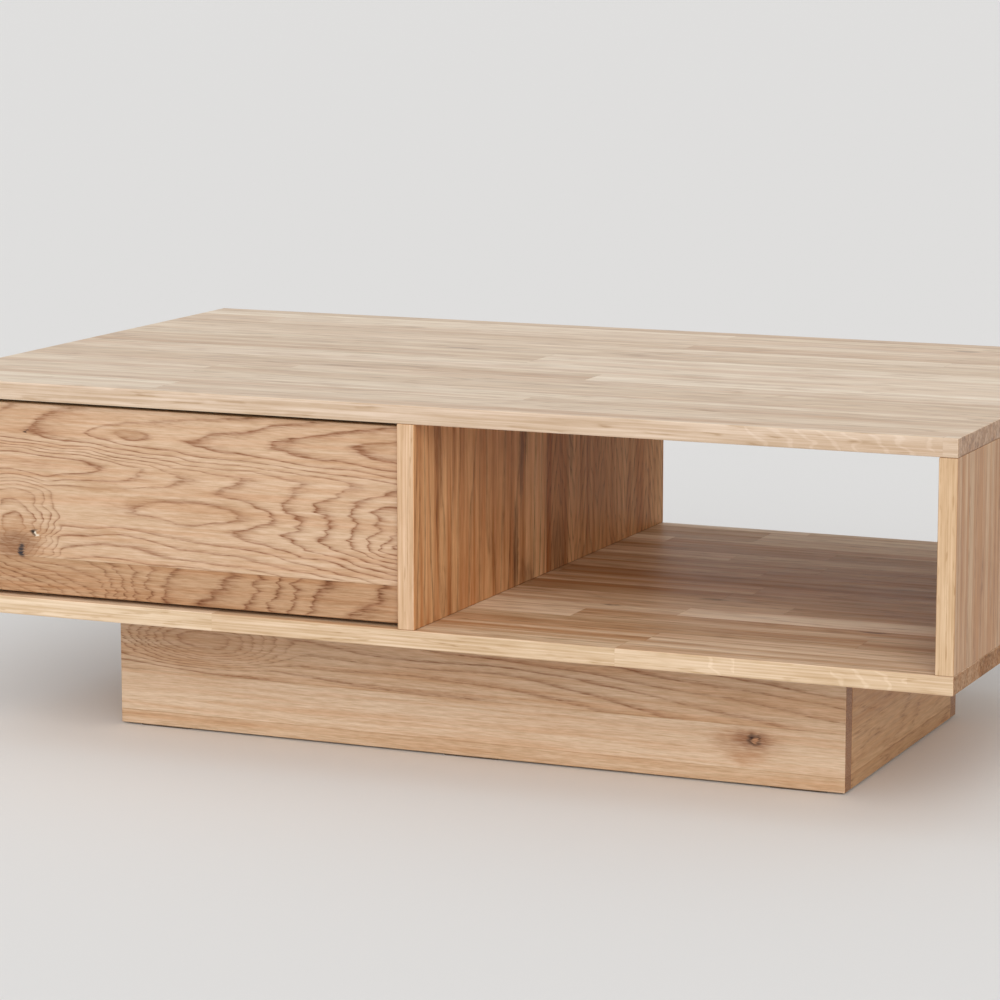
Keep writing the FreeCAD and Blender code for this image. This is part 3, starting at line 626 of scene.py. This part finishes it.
# %% Drawer front: finish
SMOKY = "#b08862"
drawer_marks = [
    (-340, 277, 36, 7, SMOKY, 0.5),
    (-296, 267, 28, 8, SMOKY, 0.45),
    (-240, 258, 34, 9, SMOKY, 0.25),
    (-187, 262, 42, 15, SMOKY, 0.28),
    (-338, 232, 26, 5, SMOKY, 0.5),
    (-313, 335, 34, 8, SMOKY, 0.4),
    (-30, 341, 36, 10, SMOKY, 0.4),
    (-438, 220, 48, 30, "#a9794f", 0.55),
    (-442, 213, 37, 19, "#7a5033", 0.65),
    (-434, 207, 5, 10, "#26272d", 0.95),
    (-419, 226, 5, 5, "#2d2019", 0.9),
    (-416, 224, 3, 3, "#f0e2cc", 0.9),
    (-426, 329, 2.4, 2.4, "#4a3326", 0.9),
]
drawer_seams = ((-FAR_OFF, -0.24), (DRAWER_SEAM, 0.24))
showpiece = {**OAK, "light": "#d3b89b", "warm": "#bd8c64", "line": "#865332", "bold": 0.95, "patchy": 0.4}
paint(oak_board("oak_drawer_front", "XZY", 32, seams=drawer_seams, figure=drawer_figure,
                marks=drawer_marks, tones=showpiece), "drawer_front")

# %% [markdown]
# The plinth front has three staves. The top one shows an oval where the saw just touched a bulge
# in the trunk: a hill in an even slope of rings. The two below were cut along their rings and show
# no lines, only fibres, and a small knot with a dark rim is painted on the middle one.

# %% Plinth
PLINTH_SEAM = 60.5
BETWEEN_LINES = 0.6
PLINTH_TORN = (((8, 0, 0), (26, 1.2, 9)), ((10, 0, 0), (24, 3.2, 9)), ((30, 16, 0), (170, 26, 40)))


def plinth_figure(tree, board):
    """The plinth front's ring count."""
    place = ragged(tree, board, PLINTH_TORN)
    even = add(tree, "VectorMath", {"operation": "DOT_PRODUCT"}, {0: place, 1: (0.006, 1 / 13, 1 / 5)})
    upper = swell(tree, place, (-305, 93), (130, 42), 7.0, even["Value"])
    upper = swell(tree, place, (60, 75), (260, 40), -1.0, upper)
    height = add(tree, "SeparateXYZ", {}, {0: board})
    above = add(tree, "Math", {"operation": "GREATER_THAN"}, {0: height["Y"], 1: PLINTH_SEAM})
    return add(tree, "Mix", {"data_type": "FLOAT"}, {0: above[0], 2: BETWEEN_LINES, 3: upper})[0]


plinth_marks = [
    (-305, 100, 120, 40, "#a8754a", 0.2),
    (298, 44, 54, 20, "#a3714a", 0.5),
    (304, 47, 26, 12, "#875637", 0.65),
    (298, 28, 30, 9, "#b0794c", 0.45),
    (306, 47, 9, 8, "#33201a", 0.9),
    (307, 46.5, 4.5, 4, "#c08e68", 0.9),
]
plinth_seams = ((-FAR_OFF, -0.11), (17, 0.11), (PLINTH_SEAM, -0.04))
FAINT = {**OAK, "light": "#dcc2a5", "warm": "#c69263", "line": "#935c37", "bold": 0.85, "patchy": 0.42}
paint(oak_board("oak_plinth_front", "XZY", 23, seams=plinth_seams, figure=plinth_figure,
                marks=plinth_marks, tones=FAINT), "plinth_front_board")
paint(oak_board("oak_plinth_back", "XZY", 26, seams=((40, -0.06), (92, 0.08))), "plinth_back_board")
plinth_side_tones = {**FAINT, "light": "#d1aa7f", "warm": "#b67d4b",
                     "bold": 0.4, "rings": 9, "streak": 12}
paint(oak_board("oak_plinth_sides", "YZX", 29, seams=plinth_seams, tones=plinth_side_tones),
      "plinth_left_board", "plinth_right_board")
print("oak on", sum(piece.data.materials[0].name.startswith("oak") for piece in table.values()), "boards")

# %% [markdown]
# Inside the drawer and under the table are plainer woods. They share the oak's rings
# in other tones: a pale, straight-grained wood with a clear lacquer for the drawer box,
# birch plywood for its bottom, and unfinished beech for the corner blocks and dowels,
# pinkish with small dark flecks from its pores.

# %% Box wood, plywood and beech
BOX_WOOD = {**OAK, "light": "#e0caa9", "warm": "#d1b089", "line": "#c09a70", "edge": "#e2cdae",
            "bold": 0.7, "patchy": 0.6, "sheen": 0.45}
PLYWOOD = {**OAK, "light": "#e4cfac", "warm": "#d9bc94", "line": "#cfae83", "edge": "#c9a87e",
           "bold": 0.6, "patchy": 0.6, "sheen": 0.45}
BEECH = {**OAK, "light": "#d5ad86", "warm": "#c89b73", "line": "#b98a63", "edge": "#d3ab84",
         "bold": 0.45, "patchy": 0.6, "sheen": 0.2}
paint(oak_board("box_wood_sides", "YZX", 41, tones=BOX_WOOD), "drawer_left_side", "drawer_right_side")
paint(oak_board("box_wood_ends", "XZY", 44, tones=BOX_WOOD), "drawer_box_front", "drawer_box_back")
paint(oak_board("birch_plywood", "XYZ", 47, tones=PLYWOOD, beside=90), "drawer_bottom")
blocks = [name for name in table if name.startswith("plinth_block")]
paint(oak_board("beech_blocks", "ZYX", 50, tones=BEECH), *blocks)
paint(oak_board("beech_dowels", "ZXY", 53, tones=BEECH), "carcass_dowels", "plinth_dowels")
print("blocks", len(blocks))

# %% [markdown]
# The runners are steel strip, rolled to shape and zinc plated: a cool grey metal with faint rolling lines
# along its length and soft patches where the plating took unevenly. The balls are hardened and polished
# steel, nearly a mirror with a film of grease. The screws are zinc plated too, with a fine mottle.
# All are metal, so the base colour is the colour of the reflection,
# and the roughness is what tells them apart.

# %% Metals
def metal(name, pale, dull, lines, rough):
    """Plated or polished steel, with streaks of that size in millimetres and a range of roughness."""
    finish, tree, shader = new_finish(name)
    board = board_place(tree, "YZX")
    place = add(tree, "Mapping", {}, {"Vector": board, "Scale": [1 / size for size in lines]})
    streak = add(tree, "TexNoise", {}, {"Vector": place[0], "Scale": 1, "Detail": 3})
    cloud = add(tree, "TexNoise", {}, {"Vector": board, "Scale": 1 / 18, "Detail": 2})
    both = add(tree, "Math", {"operation": "MULTIPLY_ADD"}, {0: cloud[0], 1: 0.6, 2: streak[0]})
    worn = add(tree, "MapRange", {}, {0: both[0], 1: 0.5, 2: 1.1, 3: 0, 4: 1})
    colour = add(tree, "Mix", {"data_type": "RGBA"}, {0: worn[0], 6: linear(pale), 7: linear(dull)})
    tree.links.new(colour[2], shader.inputs["Base Color"])
    gloss = add(tree, "MapRange", {}, {0: both[0], 1: 0.5, 2: 1.1, 3: rough[0], 4: rough[1]})
    tree.links.new(gloss[0], shader.inputs["Roughness"])
    bump = add(tree, "Bump", {}, {"Strength": 0.15, "Distance": 0.0001, "Height": streak[0]})
    tree.links.new(bump[0], shader.inputs["Normal"])
    shader.inputs["Metallic"].default_value = 1.0
    return finish


zinc = metal("zinc_plated_steel", "#c9ccd0", "#a9adb4", (60, 0.9, 0.9), (0.24, 0.42))
ball_steel = metal("polished_ball_steel", "#d6d7da", "#bfc2c6", (4, 4, 4), (0.06, 0.16))
screw_zinc = metal("zinc_plated_screws", "#c8c6bd", "#a8a59a", (1.2, 1.2, 1.2), (0.26, 0.45))
rails = [name for name in table if name.endswith(("_rail", "_cage", "_striker"))]
balls = [name for name in table if name.endswith("_balls")]
screws = [name for name in table if name.endswith("_screws")]
paint(zinc, *rails)
paint(ball_steel, *balls)
paint(screw_zinc, *screws)
print(len(rails), "rolled pieces,", len(balls), "sets of balls,", len(screws), "sets of screws")

# %% [markdown]
# The push latches are moulded from black nylon, with the fine spark-eroded texture that a mould leaves.
# A fine noise gives that grain, and a slow one the faint flow marks of the plastic.

# %% Black nylon
nylon, tree, shader = new_finish("moulded_black_nylon")
board = board_place(tree, "XYZ")
grit = add(tree, "TexNoise", {}, {"Vector": board, "Scale": 1 / 0.5, "Detail": 2})
flow = add(tree, "TexNoise", {}, {"Vector": board, "Scale": 1 / 12, "Detail": 1})
colour = add(tree, "Mix", {"data_type": "RGBA"}, {0: flow[0], 6: linear("#26272a"), 7: linear("#35363a")})
tree.links.new(colour[2], shader.inputs["Base Color"])
gloss = add(tree, "MapRange", {}, {0: grit[0], 1: 0.3, 2: 0.7, 3: 0.42, 4: 0.6})
tree.links.new(gloss[0], shader.inputs["Roughness"])
bump = add(tree, "Bump", {}, {"Strength": 0.3, "Distance": 0.0001, "Height": grit[0]})
tree.links.new(bump[0], shader.inputs["Normal"])
latches = [name for name in table if name.endswith("_latch")]
paint(nylon, *latches)

# %% [markdown]
# The glides are brown pressed felt: short fibres lying every way, matt and a little fuzzy at the rim.
# Felt has sheen, which is light caught on fibres seen edge on.

# %% Felt
felt, tree, shader = new_finish("pressed_brown_felt")
board = board_place(tree, "XYZ")
hair = add(tree, "TexNoise", {}, {"Vector": board, "Scale": 1 / 0.8, "Detail": 3, "Distortion": 2})
matted = add(tree, "TexNoise", {}, {"Vector": board, "Scale": 1 / 6, "Detail": 2})
mixed = add(tree, "Math", {"operation": "MULTIPLY_ADD"}, {0: matted[0], 1: 0.5, 2: hair[0]})
shade = add(tree, "MapRange", {}, {0: mixed[0], 1: 0.45, 2: 1.05, 3: 0, 4: 1})
colour = add(tree, "Mix", {"data_type": "RGBA"}, {0: shade[0], 6: linear("#4a3b2f"), 7: linear("#6a5645")})
tree.links.new(colour[2], shader.inputs["Base Color"])
shader.inputs["Roughness"].default_value = 0.95
shader.inputs["Sheen Weight"].default_value = 0.4
bump = add(tree, "Bump", {}, {"Strength": 0.6, "Distance": 0.0003, "Height": mixed[0]})
tree.links.new(bump[0], shader.inputs["Normal"])
paint(felt, "floor_glides")
bare = [name for name, piece in table.items() if len(piece.data.materials[0].node_tree.nodes) < 6]
print("pieces without a finish:", bare)

# %% [markdown]
# The floor is plain and pale, and wide enough to fill the picture behind the table from any side.
# Its underside is clear, so that the table can also be looked at from below.

# %% Floor
bpy.ops.mesh.primitive_plane_add(size=240)
floor = bpy.context.object
floor.name = "floor"
pale, tree, shader = new_finish("pale_floor")
shader.inputs["Base Color"].default_value = linear("#e9e8e6")
shader.inputs["Roughness"].default_value = 0.8
underside = add(tree, "NewGeometry")
clear = add(tree, "BsdfTransparent")
either = add(tree, "MixShader", {}, {0: underside["Backfacing"], 1: shader.outputs[0], 2: clear[0]})
tree.links.new(either[0], tree.nodes["Material Output"].inputs["Surface"])
floor.data.materials.append(pale)
print("floor", tuple(round(length, 1) for length in floor.dimensions))

# %% [markdown]
# A soft studio light, as from a row of windows behind the camera: the sky is brightest in front
# of the table and falls off towards its back, and a wide, low sun from the front right
# reaches into the open bay.
# Rays from the camera and mirror rays see one plain pale tone.

# %% Light
world = bpy.data.worlds.new("studio")
bpy.context.scene.world = world
world.use_nodes = True
tree = world.node_tree
sky = tree.nodes["Background"]
direction = add(tree, "TexCoord")
parts = add(tree, "SeparateXYZ", {}, {0: direction["Generated"]})
level = add(tree, "MapRange", {}, {0: parts["Y"], 1: -1, 2: 1, 3: 1.0, 4: 0.4})
path = add(tree, "LightPath")
seen = add(tree, "Math", {"operation": "MAXIMUM"}, {0: path["Is Camera Ray"], 1: path["Is Glossy Ray"]})
seen = add(tree, "Math", {"operation": "MAXIMUM"}, {0: seen[0], 1: path["Is Transmission Ray"]})
strength = add(tree, "Mix", {"data_type": "FLOAT"}, {0: seen[0], 2: level[0], 3: 0.85})
sky.inputs["Color"].default_value = linear("#fbfbfc")
tree.links.new(strength[0], sky.inputs["Strength"])

lamp = bpy.data.lights.new("window", "SUN")
lamp.energy = 1.45
lamp.angle = math.radians(40)
window = bpy.data.objects.new("window", lamp)
window.rotation_euler = (math.radians(61), 0, math.radians(24))
bpy.context.scene.collection.objects.link(window)
print("sun", lamp.energy)

# %% [markdown]
# The camera stands to the right in front of the table, a little above it, with a long lens.
# Its place was worked out from the table's edges in the photograph, so no shift of the frame is needed.

# %% Camera
lens = bpy.data.cameras.new("camera")
lens.lens = 132.41
camera = bpy.data.objects.new("camera", lens)
camera.location = (1.4678, -3.5202, 0.8662)
camera.rotation_euler = (math.radians(80.625), 0, math.radians(23.279))
bpy.context.scene.collection.objects.link(camera)
bpy.context.scene.camera = camera
bpy.context.scene.view_settings.view_transform = "Standard"
print("camera", tuple(camera.location))
